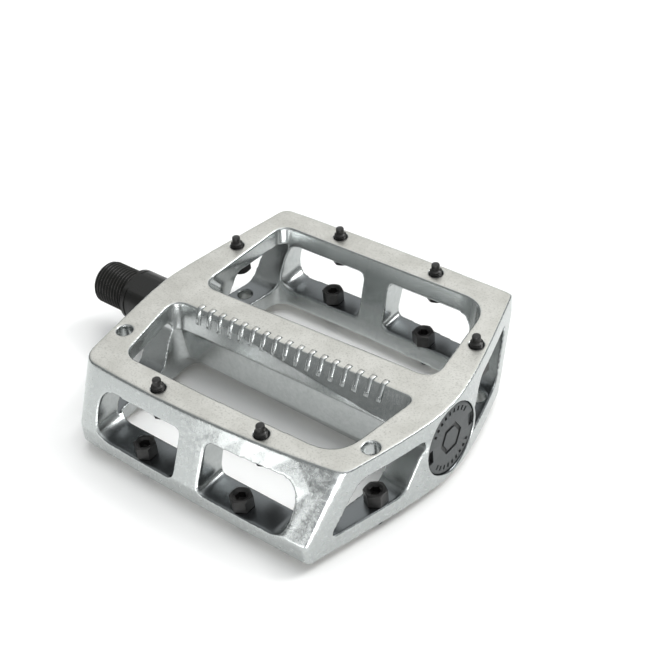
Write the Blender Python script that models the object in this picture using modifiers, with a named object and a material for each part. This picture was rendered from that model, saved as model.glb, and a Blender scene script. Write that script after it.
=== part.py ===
"""Right-hand flat pedal for a bicycle.

A machined aluminium cage turns on a steel spindle. The spindle's crank end has the thread, a
shoulder and two wrench flats. Inside the cage it runs in a plain bushing next to the crank, behind
a rubber seal, and in two ball bearings at its far end, held by a washer and a lock nut under a
pressed-in end cap. Six screws on each face, driven from inside the cage, stand proud as pins.

+X runs along the spindle from the crank outwards, -Y is the edge that leads when the pedal lies
flat, and +Z is up. The origin is on the spindle's axis, in the face that seats on the crank. The
cage looks the same after half a turn about the spindle.
"""

import math

import bmesh
import bpy
from mathutils import Matrix

mm = 0.001
HALF_TURN = math.pi
WELD = 1e-6  # merge distance for touching points
OVERCUT = 1.0 * mm  # how far a cutter runs past the face it opens
OUTSIDE = 60.0 * mm  # from the cage's centre, clear of every outer face

# Fits between neighbouring pieces
GAP = 0.15 * mm  # round fits and seated faces
RUN_GAP = 0.12 * mm  # bushing on the spindle

# Cage outline, seen from above; the cage's own centre is CAGE_CENTRE along the spindle
CAGE_CENTRE = 68.2 * mm
HALF_HEIGHT = 12.5 * mm
OUTBOARD_APEX = 54.7 * mm
OUTBOARD_SWEEP = 0.325
OUTBOARD_ROUNDING = 14.0 * mm
INBOARD_APEX = 53.0 * mm
INBOARD_SWEEP = 0.17
INBOARD_ROUNDING = 8.0 * mm
PROUD_REACH = 50.6 * mm  # the long side of each face
PROUD_BOW = 1500.0 * mm
SHORT_REACH = 41.9 * mm  # the set-back side of each face
SHORT_BOW = 400.0 * mm
SHORT_BOW_CENTRE = -20.0 * mm
EDGE_BAND = 6.1 * mm  # upright band under each long side
OUTBOARD_CORNER = (3.5 * mm, 1.5 * mm)  # at the short and at the long side of a face
INBOARD_CORNER = (5.5 * mm, 3.0 * mm)
CORNER_MARGIN = 6.6 * mm  # where the corner curves take over from the sides

# Spindle: a 9/16 inch x 20 tpi crank thread, then a round stub with two flats for a 15 mm wrench
THREAD_RADIUS = 14.29 / 2 * mm
THREAD_LENGTH = 14.4 * mm
THREAD_CHAMFER = (1.2 * mm, 1.0 * mm)  # along and across the thread's end
STUB_RADIUS = 8.6 * mm
STUB_LENGTH = CAGE_CENTRE - INBOARD_APEX - 0.6 * mm
COLLAR_LENGTH = 1.6 * mm
COLLAR_GROOVE = 0.4 * mm
FLATS_ACROSS = 15.0 * mm
FLATS_LENGTH = 11.8 * mm
FLATS_TILT = math.radians(15)
JOURNAL_RADIUS = 6.0 * mm
SEAT_RADIUS = 4.0 * mm  # under the ball bearings
SEAT_SHOULDER = 4.8 * mm
SPINDLE_PAST_NUT = 2.4 * mm
SPINDLE_CHAMFER = 0.5 * mm
JOURNAL_PAST_BUSHING = 4.0 * mm

# Foot windows, one in front of the housing and one behind it
RIM_SHORT_INSIDE = 33.4 * mm
RIM_SHORT_BOW = 1200.0 * mm
RIM_PROUD_INSIDE = 42.0 * mm
HOUSING_TOP = 4.6 * mm  # half width of the axle housing in the bevelled face
HOUSING_TOP_TAPER = 0.037  # it narrows outboard
HOUSING_WIDE = 8.7 * mm  # half width along the upright flank
HOUSING_BASE = 4.9 * mm  # half width in the other face
HOUSING_BASE_FLARE = 0.03  # it widens outboard
BEVEL_DEPTH = 8.2 * mm
UNDERCUT_DEPTH = 19.5 * mm  # where the flank turns in towards the other face
WINDOW_OUTBOARD = 45.3 * mm
WINDOW_OUTBOARD_SWEEP = 0.15
WINDOW_INBOARD_SHORT = 44.9 * mm
WINDOW_INBOARD_SHORT_SWEEP = 0.22
WINDOW_INBOARD_PROUD = 41.2 * mm
WINDOW_INBOARD_PROUD_SWEEP = 0.02
WINDOW_FAR_ROUNDS = (5.0 * mm, 8.0 * mm, 9.0 * mm)  # inboard, middle, outboard
WINDOW_NEAR_ROUNDS = {  # depth: corner radii beside the housing, inboard and outboard
    0.0: (6.0 * mm, 3.0 * mm),
    BEVEL_DEPTH: (5.5 * mm, 4.0 * mm),
    UNDERCUT_DEPTH: (5.5 * mm, 5.0 * mm),
    2 * HALF_HEIGHT: (6.0 * mm, 6.0 * mm),
}

# Windows through the walls leave face plates of one thickness
PLATE = 5.3 * mm
WALL_WINDOW_HALF = HALF_HEIGHT - PLATE
LEADING_WINDOWS = ((-38.0 * mm, -6.0 * mm), (3.4 * mm, 35.0 * mm))
LEADING_ROUND = 6.5 * mm
LEADING_SMALL_ROUND = 2.8 * mm
LEADING_INNER = -34.0 * mm  # inside the cage, where these cuts end
END_WINDOW_NEAR = (9.2 * mm, 18.7 * mm)  # top and bottom, at the housing
END_WINDOW_FAR = (32.2 * mm, 42.6 * mm)  # top and bottom, at the edge
END_WINDOW_ROUNDS = (4.2 * mm, 3.0 * mm, 2.5 * mm, 3.0 * mm)  # from the near top corner round
END_WINDOW_INNER = (39.0 * mm, -37.0 * mm)  # outboard and inboard, where these cuts end

# Bores along the spindle, as distances from the crank face
BOSS_RADIUS = 12.1 * mm
BOSS_LIP_RADIUS = 11.5 * mm
BOSS_ROOT = 5.0 * mm
BOSS_END = CAGE_CENTRE + OUTBOARD_APEX - 0.3 * mm
SEAL_BORE_RADIUS = 9.8 * mm
SEAL_BORE_END = CAGE_CENTRE - 49.1 * mm
SEAL_RECESS = 0.8 * mm
RACE_BORE_RADIUS = 7.15 * mm  # bushing and bearings share one diameter
BUSHING_BORE_END = CAGE_CENTRE - 33.8 * mm
MIDDLE_BORE_RADIUS = 6.6 * mm
BEARING_BORE_START = CAGE_CENTRE + 31.0 * mm
NUT_BORE_RADIUS = 7.7 * mm
NUT_BORE_START = BEARING_BORE_START + 9.4 * mm
CAP_BORE_RADIUS = 11.05 * mm
CAP_BORE_START = BOSS_END - 4.0 * mm

# Pins: screws with a turned-down tip
PIN_THREAD_RADIUS = 1.9 * mm
PIN_TIP_RADIUS = 1.3 * mm
PIN_EDGE = 0.25 * mm
PIN_PROUD = 3.3 * mm
PIN_THREAD_PROUD = 1.3 * mm
PIN_HEAD_ACROSS = 6.0 * mm  # a hexagon whose corners are turned down to a round end
PIN_HEAD_RADIUS = 3.5 * mm
PIN_HEAD_CHAMFER = (0.35 * mm, 0.6 * mm)  # along and across
PIN_HEAD_HEIGHT = 4.0 * mm
PIN_SOCKET_ACROSS = 3.0 * mm
PIN_SOCKET_DEPTH = 2.4 * mm
PIN_HOLE_RADIUS = 2.1 * mm
ACCESS_HOLE_RADIUS = 2.4 * mm
SHORT_PIN_X = (-18.5 * mm, 18.5 * mm)
PROUD_PIN_X = (-19.9 * mm, 17.1 * mm)
SHORT_PIN_INSET = 3.3 * mm
PROUD_PIN_Y = 46.6 * mm
INBOARD_PIN = (-45.6 * mm, 25.4 * mm)
OUTBOARD_PIN = (46.2 * mm, 24.8 * mm)

# Ball bearings 8 x 14 x 4
BEARING_WIDTH = 4.0 * mm
RACE_OUTER_RADIUS = 7.0 * mm
OUTER_RACE_INSIDE = 6.2 * mm
INNER_RACE_OUTSIDE = 4.9 * mm
PITCH_RADIUS = 5.55 * mm
BALL_RADIUS = 0.92 * mm
GROOVE_CLEARANCE = 0.08 * mm
BALL_COUNT = 9
RETAINER_HALF_WIDTH = 1.25 * mm
RETAINER_WALL = 0.8 * mm
SHIELD_THICKNESS = 0.25 * mm

# Lock nut, washer and cap
WASHER_THICKNESS = 1.0 * mm
WASHER_RADIUS = 5.9 * mm
NUT_ACROSS = 13.0 * mm
NUT_THICKNESS = 5.0 * mm
CAP_THICKNESS = 3.4 * mm
CAP_EDGE = 0.4 * mm
CAP_PLUG_RADIUS = 7.5 * mm
CAP_PLUG_INSIDE = 5.4 * mm
CAP_PLUG_LENGTH = 4.2 * mm
CAP_NOTCH = (2.4 * mm, 4.8 * mm, 5.0 * mm)  # along the spindle, across and up
RING_SECTION = 0.42 * mm
RING_RADIUS = 7.05 * mm

# Facets
EXTRA_FINE = 64  # bores of the cage and the end cap
FINE = 40
MEDIUM = 28
HOLE = 20
SMALL = 12
CORNER_STEPS = 8


def new_collection(name):
    collection = bpy.data.collections.new(name)
    bpy.context.scene.collection.children.link(collection)
    return collection


def new_material(name, colour, metallic, roughness):
    material = bpy.data.materials.new(name)
    material.use_nodes = True
    shader = material.node_tree.nodes["Principled BSDF"]
    shader.inputs["Base Color"].default_value = (*colour, 1.0)
    shader.inputs["Metallic"].default_value = metallic
    shader.inputs["Roughness"].default_value = roughness
    return material


def place(name, mesh, collection, parent=None, material=None):
    """Put a mesh into a collection as a named object."""
    piece = bpy.data.objects.new(name, mesh)
    collection.objects.link(piece)
    piece.parent = parent
    if material and not mesh.materials:
        mesh.materials.append(material)
    return piece


def as_cutter(piece):
    piece.hide_render = True
    piece.display_type = "WIRE"
    return piece


def apply_boolean(piece, cutter, operation="DIFFERENCE"):
    boolean = piece.modifiers.new(cutter.name, "BOOLEAN")
    boolean.operation = operation
    boolean.solver = "EXACT"
    boolean.object = cutter


def mesh_of(piece):
    """The mesh of an object with its modifiers or curve settings carried out."""
    bpy.context.view_layer.update()
    graph = bpy.context.evaluated_depsgraph_get()
    mesh = bpy.data.meshes.new_from_object(piece.evaluated_get(graph))
    work = bmesh.new()
    work.from_mesh(mesh)
    bmesh.ops.remove_doubles(work, verts=work.verts, dist=WELD)
    work.to_mesh(mesh)
    work.free()
    return mesh


def shade_round(mesh, sharp_degrees=35):
    mesh.shade_smooth()
    mesh.set_sharp_from_angle(angle=math.radians(sharp_degrees))


def turned_mesh(name, profile, sides, ring=False):
    """Turn a profile of (height, radius) points about Z; it runs down its outer side."""
    points = [(radius, 0, height) for height, radius in profile]
    edges = [(i, i + 1) for i in range(len(points) - 1)]
    if ring:
        edges.append((len(points) - 1, 0))
    line = bpy.data.meshes.new(name)
    line.from_pydata(points, edges, [])
    piece = bpy.data.objects.new(name, line)
    bpy.context.scene.collection.objects.link(piece)
    screw = piece.modifiers.new("turn", "SCREW")
    screw.axis = "Z"
    screw.steps = sides
    screw.render_steps = sides
    screw.use_merge_vertices = True
    screw.merge_threshold = WELD
    mesh = mesh_of(piece)
    bpy.data.objects.remove(piece)
    bpy.data.meshes.remove(line)
    shade_round(mesh)
    return mesh


def along_spindle(mesh):
    """Lay a mesh turned about Z along +X."""
    mesh.transform(Matrix.Rotation(HALF_TURN / 2, 4, "Y"))
    return mesh


def rod_mesh(name, radius, start, end, sides):
    """A plain cylinder along Z from start to end."""
    work = bmesh.new()
    middle = Matrix.Translation((0, 0, (start + end) / 2))
    bmesh.ops.create_cone(work, cap_ends=True, segments=sides, radius1=radius, radius2=radius,
                          depth=end - start, matrix=middle)
    mesh = bpy.data.meshes.new(name)
    work.to_mesh(mesh)
    work.free()
    return mesh


def ring_profile(start, end, inside, outside):
    return [(end, outside), (start, outside), (start, inside), (end, inside)]


def rounded(corners, radii):
    """Replace each corner of a polygon by a quadratic curve that starts radius away from it."""
    points = []
    count = len(corners)
    for i, (corner, radius) in enumerate(zip(corners, radii)):
        before, after = corners[i - 1], corners[(i + 1) % count]
        points += corner_curve(before, corner, after, radius)
    return points


def corner_curve(before, corner, after, radius):
    def towards(other):
        span = math.dist(corner, other)
        return [c + (o - c) * radius / span for c, o in zip(corner, other)]

    first, last = towards(before), towards(after)
    curve = []
    for step in range(CORNER_STEPS + 1):
        t = step / CORNER_STEPS
        curve.append(tuple((1 - t) ** 2 * a + 2 * t * (1 - t) * c + t * t * b
                           for a, c, b in zip(first, corner, last)))
    return curve


def prism_mesh(name, outline, half_thickness):
    """A flat outline in XY, extruded half_thickness each way along Z."""
    curve = bpy.data.curves.new(name, "CURVE")
    curve.dimensions = "2D"
    curve.fill_mode = "BOTH"
    curve.extrude = half_thickness
    spline = curve.splines.new("POLY")
    spline.points.add(len(outline) - 1)
    for point, (x, y) in zip(spline.points, outline):
        point.co = (x, y, 0, 1)
    spline.use_cyclic_u = True
    piece = bpy.data.objects.new(name, curve)
    bpy.context.scene.collection.objects.link(piece)
    mesh = mesh_of(piece)
    bpy.data.objects.remove(piece)
    bpy.data.curves.remove(curve)
    return mesh


def loft_mesh(name, sections):
    """Join closed sections with equal point counts, lowest first, into one solid."""
    work = bmesh.new()
    rings = [[work.verts.new(point) for point in section] for section in sections]
    for lower, upper in zip(rings, rings[1:]):
        for i in range(len(lower)):
            j = (i + 1) % len(lower)
            work.faces.new((lower[i], lower[j], upper[j], upper[i]))
    work.faces.new(list(reversed(rings[0])))
    work.faces.new(rings[-1])
    bmesh.ops.recalc_face_normals(work, faces=work.faces)
    mesh = bpy.data.meshes.new(name)
    work.to_mesh(mesh)
    work.free()
    return mesh


# ---------------------------------------------------------------- cage outline


def mix(a, b, t):
    return a + (b - a) * t


def outboard_edge(y):
    return OUTBOARD_APEX + OUTBOARD_SWEEP * (OUTBOARD_ROUNDING - math.hypot(y, OUTBOARD_ROUNDING))


def inboard_edge(y):
    return -INBOARD_APEX - INBOARD_SWEEP * (INBOARD_ROUNDING - math.hypot(y, INBOARD_ROUNDING))


def side_reach(x, depth):
    """How far a side stands from the spindle, at a depth below the face it is set back on."""
    short = SHORT_REACH - (x - SHORT_BOW_CENTRE) ** 2 / (2 * SHORT_BOW)
    proud = PROUD_REACH - x ** 2 / (2 * PROUD_BOW)
    return mix(short, proud, min(1, depth / (2 * HALF_HEIGHT - EDGE_BAND)))


def meeting_point(end_edge, side, depth):
    """Where an end edge meets a side (-1 leading, +1 trailing)."""
    x = end_edge(0)
    for _ in range(20):
        y = side * side_reach(x, depth)
        x = end_edge(y)
    return x, y


def cage_section(z):
    """The cage's outline at one height, anticlockwise from the leading inboard corner."""
    leading, trailing = HALF_HEIGHT - z, HALF_HEIGHT + z
    corner_a = meeting_point(inboard_edge, -1, leading)
    corner_b = meeting_point(outboard_edge, -1, leading)
    corner_c = meeting_point(outboard_edge, 1, trailing)
    corner_d = meeting_point(inboard_edge, 1, trailing)
    sides = (
        side_points(corner_a, corner_b, -1, leading),
        end_points(corner_b, corner_c, outboard_edge),
        side_points(corner_c, corner_d, 1, trailing),
        end_points(corner_d, corner_a, inboard_edge),
    )
    corners = (corner_b, corner_c, corner_d, corner_a)
    front, rear = leading / (2 * HALF_HEIGHT), trailing / (2 * HALF_HEIGHT)
    radii = (mix(*OUTBOARD_CORNER, front), mix(*OUTBOARD_CORNER, rear),
             mix(*INBOARD_CORNER, rear), mix(*INBOARD_CORNER, front))
    points = []
    for i, (side, corner, radius) in enumerate(zip(sides, corners, radii)):
        points += side
        points += corner_curve(side[-1], corner, sides[(i + 1) % 4][0], radius)
    return [(x, y, z) for x, y in points]


def side_points(start, end, side, depth, steps=10):
    margin = math.copysign(CORNER_MARGIN, end[0] - start[0])
    first, last = start[0] + margin, end[0] - margin
    xs = [mix(first, last, i / steps) for i in range(steps + 1)]
    return [(x, side * side_reach(x, depth)) for x in xs]


def end_points(start, end, edge, steps=14):
    margin = math.copysign(CORNER_MARGIN, end[1] - start[1])
    first, last = start[1] + margin, end[1] - margin
    ys = [mix(first, last, i / steps) for i in range(steps + 1)]
    return [(edge(y), y) for y in ys]


# ---------------------------------------------------------------- foot windows


def housing_side(x, depth):
    """Half width of the axle housing at a depth below the bevelled face."""
    if depth < BEVEL_DEPTH:
        return mix(HOUSING_TOP - HOUSING_TOP_TAPER * x, HOUSING_WIDE, depth / BEVEL_DEPTH)
    base = HOUSING_BASE + HOUSING_BASE_FLARE * x
    return mix(HOUSING_WIDE, base, max(0, (depth - UNDERCUT_DEPTH) / (2 * HALF_HEIGHT - UNDERCUT_DEPTH)))


def foot_window_section(depth, z):
    """Outline of the front foot window at a depth below the top face, drawn at height z."""
    t = depth / (2 * HALF_HEIGHT)

    def far(x):
        short = RIM_SHORT_INSIDE - (x - SHORT_BOW_CENTRE) ** 2 / (2 * RIM_SHORT_BOW)
        return -mix(short, RIM_PROUD_INSIDE, t)

    def outboard(y):
        return WINDOW_OUTBOARD - WINDOW_OUTBOARD_SWEEP * abs(y)

    def inboard(y):
        short = WINDOW_INBOARD_SHORT - WINDOW_INBOARD_SHORT_SWEEP * abs(y)
        proud = WINDOW_INBOARD_PROUD - WINDOW_INBOARD_PROUD_SWEEP * abs(y)
        return -mix(short, proud, t)

    far_out_x = outboard(far(WINDOW_OUTBOARD))
    far_in_x = inboard(far(-WINDOW_INBOARD_PROUD))
    near_in_y = -housing_side(-WINDOW_INBOARD_PROUD, depth)
    near_out_y = -housing_side(WINDOW_OUTBOARD, depth)
    corners = [
        (inboard(near_in_y), near_in_y),
        (far_in_x, far(far_in_x)),
        (0.0, far(0.0)),
        (far_out_x, far(far_out_x)),
        (outboard(near_out_y), near_out_y),
    ]
    inboard_round, outboard_round = WINDOW_NEAR_ROUNDS[depth]
    radii = (inboard_round, *WINDOW_FAR_ROUNDS, outboard_round)
    return [(x, y, z) for x, y in rounded(corners, radii)]


def foot_window_mesh():
    full = 2 * HALF_HEIGHT
    levels = [(depth, HALF_HEIGHT - depth) for depth in reversed(WINDOW_NEAR_ROUNDS)]
    levels = [(full, -HALF_HEIGHT - OVERCUT)] + levels + [(0, HALF_HEIGHT + OVERCUT)]
    return loft_mesh("foot_window", [foot_window_section(depth, z) for depth, z in levels])


def leading_window_mesh(index):
    """A window through the leading wall; its end nearest the cage's corner is the rounder one."""
    start, end = LEADING_WINDOWS[index]
    low, high = -WALL_WINDOW_HALF, WALL_WINDOW_HALF
    corners = ((start, low), (end, low), (end, high), (start, high))
    big, small = LEADING_ROUND, LEADING_SMALL_ROUND
    radii = (big, small, small, big) if index == 0 else (small, big, big, small)
    mesh = prism_mesh("leading_window", rounded(corners, radii), (LEADING_INNER + OUTSIDE) / 2)
    middle = Matrix.Translation((0, (LEADING_INNER - OUTSIDE) / 2, 0))
    mesh.transform(middle @ Matrix.Rotation(HALF_TURN / 2, 4, "X"))
    return mesh


def end_window_mesh(outer, inner):
    """A window through an end wall on the leading side, between two places along the spindle."""
    low, high = -WALL_WINDOW_HALF, WALL_WINDOW_HALF
    near_high, near_low = END_WINDOW_NEAR
    far_high, far_low = END_WINDOW_FAR
    corners = ((-near_high, high), (-far_high, high), (-far_low, low), (-near_low, low))
    mesh = prism_mesh("end_window", rounded(corners, END_WINDOW_ROUNDS), abs(outer - inner) / 2)
    upright = Matrix(((0, 0, 1, 0), (1, 0, 0, 0), (0, 1, 0, 0), (0, 0, 0, 1)))
    mesh.transform(Matrix.Translation(((outer + inner) / 2, 0, 0)) @ upright)
    return mesh


# ---------------------------------------------------------------- cage


def cage_bores():
    """(name, radius, start, end) of each bore, from the crank face."""
    inboard, outboard = CAGE_CENTRE - INBOARD_APEX - OVERCUT, BOSS_END + OVERCUT
    return (
        ("seal_bore", SEAL_BORE_RADIUS, inboard, SEAL_BORE_END),
        ("bushing_bore", RACE_BORE_RADIUS, inboard, BUSHING_BORE_END),
        ("middle_bore", MIDDLE_BORE_RADIUS, inboard, NUT_BORE_START),
        ("bearing_bore", RACE_BORE_RADIUS, BEARING_BORE_START, outboard),
        ("nut_bore", NUT_BORE_RADIUS, NUT_BORE_START, outboard),
        ("cap_bore", CAP_BORE_RADIUS, CAP_BORE_START, outboard),
    )


def pin_places():
    """Places of the six pins on the top face, seen from the cage's centre."""
    places = {"inboard_rim": INBOARD_PIN, "outboard_rim": OUTBOARD_PIN}
    for end, short_x, proud_x in zip(("inboard", "outboard"), SHORT_PIN_X, PROUD_PIN_X):
        places[f"short_edge_{end}"] = (short_x, SHORT_PIN_INSET - side_reach(short_x, 0))
        places[f"long_edge_{end}"] = (proud_x, PROUD_PIN_Y)
    return places


def make_cage(collection, cutters, pivot, material):
    levels = (-HALF_HEIGHT, EDGE_BAND - HALF_HEIGHT, HALF_HEIGHT - EDGE_BAND, HALF_HEIGHT)
    shell = loft_mesh("cage", [cage_section(z) for z in levels])
    cage = place("cage", shell, collection, pivot, material)

    boss = place("end_boss", boss_mesh(), cutters, pivot)
    apply_boolean(cage, as_cutter(boss), "UNION")

    both_ways = {
        "foot_window": foot_window_mesh(),
        "leading_window_inboard": leading_window_mesh(0),
        "leading_window_outboard": leading_window_mesh(1),
        "end_window_outboard": end_window_mesh(OUTSIDE, END_WINDOW_INNER[0]),
        "end_window_inboard": end_window_mesh(-OUTSIDE, END_WINDOW_INNER[1]),
    }
    for name, radius, low, high in (
        ("pin_hole", PIN_HOLE_RADIUS, WALL_WINDOW_HALF - OVERCUT, HALF_HEIGHT + OVERCUT),
        ("access_hole", ACCESS_HOLE_RADIUS, -HALF_HEIGHT - OVERCUT, OVERCUT - WALL_WINDOW_HALF),
    ):
        hole = rod_mesh(name, radius, low, high, HOLE)
        for place_name, (x, y) in pin_places().items():
            if name == "access_hole" and "rim" not in place_name:
                continue
            there = hole.copy()
            there.transform(Matrix.Translation((x, y, 0)))
            both_ways[f"{name}_{place_name}"] = there

    for name, mesh in both_ways.items():
        for turn in (0, 1):
            cutter = as_cutter(place(f"cut_{name}_{turn}", mesh, cutters, pivot))
            cutter.rotation_euler.x = turn * HALF_TURN
            apply_boolean(cage, cutter)

    for name, radius, start, end in cage_bores():
        mesh = along_spindle(rod_mesh(name, radius, start - CAGE_CENTRE, end - CAGE_CENTRE, EXTRA_FINE))
        apply_boolean(cage, as_cutter(place(f"cut_{name}", mesh, cutters, pivot)))
    return cage


def boss_mesh():
    """The ring round the end cap, standing off the outboard edge with a bevelled lip."""
    base = OUTBOARD_APEX - BOSS_ROOT
    end = BOSS_END - CAGE_CENTRE
    lip = BOSS_RADIUS - BOSS_LIP_RADIUS
    profile = [(end, 0), (end, BOSS_LIP_RADIUS), (end - lip, BOSS_RADIUS), (base, BOSS_RADIUS), (base, 0)]
    return along_spindle(turned_mesh("end_boss", profile, EXTRA_FINE))


# ---------------------------------------------------------------- spindle and what it carries


def make_spindle(collection, cutters, material):
    tip = nut_start() + NUT_THICKNESS + SPINDLE_PAST_NUT
    chamfer = SPINDLE_CHAMFER
    thread_along, thread_across = THREAD_CHAMFER
    groove = STUB_RADIUS - COLLAR_GROOVE
    profile = [
        (tip, 0),
        (tip, SEAT_RADIUS - chamfer),
        (tip - chamfer, SEAT_RADIUS),
        (BEARING_BORE_START, SEAT_RADIUS),
        (BEARING_BORE_START, SEAT_SHOULDER),
        (BUSHING_BORE_END + JOURNAL_PAST_BUSHING, JOURNAL_RADIUS),
        (STUB_LENGTH, JOURNAL_RADIUS),
        (STUB_LENGTH, STUB_RADIUS - chamfer),
        (STUB_LENGTH - chamfer, STUB_RADIUS),
        (COLLAR_LENGTH + COLLAR_GROOVE, STUB_RADIUS),
        (COLLAR_LENGTH + COLLAR_GROOVE, groove),
        (COLLAR_LENGTH, groove),
        (COLLAR_LENGTH, STUB_RADIUS),
        (0, STUB_RADIUS),
        (0, THREAD_RADIUS),
        (thread_along - THREAD_LENGTH, THREAD_RADIUS),
        (-THREAD_LENGTH, THREAD_RADIUS - thread_across),
        (-THREAD_LENGTH, 0),
    ]
    mesh = along_spindle(turned_mesh("spindle", profile, FINE))
    spindle = place("spindle", mesh, collection, None, material)
    spindle.rotation_euler.x = FLATS_TILT
    side = FLATS_ACROSS / 2  # of each block that cuts a flat, beyond the steel it removes
    for name, way in (("upper", 1), ("lower", -1)):
        block = bmesh.new()
        size = Matrix.Diagonal((FLATS_LENGTH + side, 4 * STUB_RADIUS, side, 1))
        bmesh.ops.create_cube(block, size=1, matrix=size)
        mesh = bpy.data.meshes.new(f"flat_{name}")
        block.to_mesh(mesh)
        block.free()
        flat = as_cutter(place(f"cut_flat_{name}", mesh, cutters, spindle))
        flat.location = ((FLATS_LENGTH - side) / 2, 0, way * (FLATS_ACROSS + side) / 2)
        apply_boolean(spindle, flat)
    return spindle


def bearing_centres():
    first = BEARING_BORE_START + GAP + BEARING_WIDTH / 2
    return {"inner": first, "outer": first + BEARING_WIDTH + GAP}


def washer_start():
    return bearing_centres()["outer"] + BEARING_WIDTH / 2 + GAP


def nut_start():
    return washer_start() + WASHER_THICKNESS + GAP


def groove_points(side, steps=3):
    """Ball groove of a race, as (height, radius): side +1 in the outer race, -1 in the inner one."""
    groove = BALL_RADIUS + GROOVE_CLEARANCE
    face = OUTER_RACE_INSIDE if side > 0 else INNER_RACE_OUTSIDE
    half_angle = math.acos(abs(face - PITCH_RADIUS) / groove)
    angles = [mix(-half_angle, half_angle, i / steps) for i in range(steps + 1)]
    return [(groove * math.sin(a), PITCH_RADIUS + side * groove * math.cos(a)) for a in angles]


def outer_race_mesh():
    half = BEARING_WIDTH / 2
    profile = [(half, RACE_OUTER_RADIUS), (-half, RACE_OUTER_RADIUS), (-half, OUTER_RACE_INSIDE)]
    profile += groove_points(1) + [(half, OUTER_RACE_INSIDE)]
    return along_spindle(turned_mesh("outer_race", profile, MEDIUM, ring=True))


def inner_race_mesh():
    half = BEARING_WIDTH / 2
    bore = SEAT_RADIUS + GAP
    profile = [(half, INNER_RACE_OUTSIDE)] + list(reversed(groove_points(-1)))
    profile += [(-half, INNER_RACE_OUTSIDE), (-half, bore), (half, bore)]
    return along_spindle(turned_mesh("inner_race", profile, MEDIUM, ring=True))


def shield_mesh():
    half = SHIELD_THICKNESS / 2
    profile = ring_profile(-half, half, INNER_RACE_OUTSIDE + GAP, OUTER_RACE_INSIDE - GAP)
    return along_spindle(turned_mesh("shield", profile, MEDIUM, ring=True))


def retainer_mesh():
    """A ring with a round pocket for each ball."""
    half = RETAINER_HALF_WIDTH
    profile = ring_profile(-half, half, PITCH_RADIUS - RETAINER_WALL / 2,
                           PITCH_RADIUS + RETAINER_WALL / 2)
    mesh = along_spindle(turned_mesh("retainer", profile, MEDIUM, ring=True))
    ring = bpy.data.objects.new("retainer", mesh)
    bpy.context.scene.collection.objects.link(ring)
    pocket = rod_mesh("pocket", BALL_RADIUS + GAP, INNER_RACE_OUTSIDE, OUTER_RACE_INSIDE, 8)
    cutters = []
    for i in range(BALL_COUNT):
        cutter = bpy.data.objects.new(f"pocket_{i}", pocket)
        cutter.rotation_euler.x = ball_angle(i)
        bpy.context.scene.collection.objects.link(cutter)
        apply_boolean(ring, cutter)
        cutters.append(cutter)
    mesh = mesh_of(ring)
    for leftover in [ring] + cutters:
        bpy.data.objects.remove(leftover)
    return mesh


def ball_angle(index):
    return 2 * HALF_TURN * index / BALL_COUNT


def ball_mesh():
    work = bmesh.new()
    bmesh.ops.create_uvsphere(work, u_segments=8, v_segments=5, radius=BALL_RADIUS)
    mesh = bpy.data.meshes.new("ball")
    work.to_mesh(mesh)
    work.free()
    mesh.shade_smooth()
    return mesh


def make_bearings(collection, pivot, steel, dark):
    """Two ball bearings side by side; the balls and retainers turn about the spindle."""
    shapes = {
        "outer_race": (outer_race_mesh(), pivot, steel),
        "inner_race": (inner_race_mesh(), None, steel),
        "retainer": (retainer_mesh(), None, dark),
    }
    shield, ball = shield_mesh(), ball_mesh()
    shield_offset = BEARING_WIDTH / 2 - SHIELD_THICKNESS
    for bearing, centre in bearing_centres().items():
        for shape, (mesh, parent, material) in shapes.items():
            piece = place(f"{bearing}_bearing_{shape}", mesh, collection, parent, material)
            piece.location.x = centre - (CAGE_CENTRE if parent else 0)
        for side, way in (("inboard", -1), ("outboard", 1)):
            piece = place(f"{bearing}_bearing_{side}_shield", shield, collection, pivot, dark)
            piece.location.x = centre - CAGE_CENTRE + way * shield_offset
        for i in range(BALL_COUNT):
            piece = place(f"{bearing}_bearing_ball_{i + 1}", ball, collection, None, steel)
            angle = ball_angle(i)
            piece.location = (centre, -PITCH_RADIUS * math.sin(angle), PITCH_RADIUS * math.cos(angle))


def make_bushing_and_seal(collection, pivot, bronze, rubber):
    bushing = ring_profile(SEAL_BORE_END + GAP, BUSHING_BORE_END - GAP,
                           JOURNAL_RADIUS + RUN_GAP, RACE_BORE_RADIUS - GAP)
    seal_start = CAGE_CENTRE - INBOARD_APEX + SEAL_RECESS
    seal = ring_profile(seal_start, SEAL_BORE_END - GAP, JOURNAL_RADIUS + GAP, SEAL_BORE_RADIUS - GAP)
    for name, profile, material in (("bushing", bushing, bronze), ("inboard_seal", seal, rubber)):
        mesh = along_spindle(turned_mesh(name, profile, FINE, ring=True))
        piece = place(name, mesh, collection, pivot, material)
        piece.location.x = -CAGE_CENTRE


def make_washer_and_nut(collection, cutters, steel):
    bore = SEAT_RADIUS + GAP
    profile = ring_profile(washer_start(), washer_start() + WASHER_THICKNESS, bore, WASHER_RADIUS)
    mesh = along_spindle(turned_mesh("lock_washer", profile, MEDIUM, ring=True))
    place("lock_washer", mesh, collection, None, steel)

    corner_radius = NUT_ACROSS / 2 / math.cos(HALF_TURN / 6)
    mesh = along_spindle(rod_mesh("lock_nut", corner_radius, nut_start(), nut_start() + NUT_THICKNESS, 6))
    nut = place("lock_nut", mesh, collection, None, steel)
    hole = along_spindle(rod_mesh("nut_hole", bore, nut_start() - OVERCUT,
                                  nut_start() + NUT_THICKNESS + OVERCUT, MEDIUM))
    apply_boolean(nut, as_cutter(place("cut_nut_hole", hole, cutters)))


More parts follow.
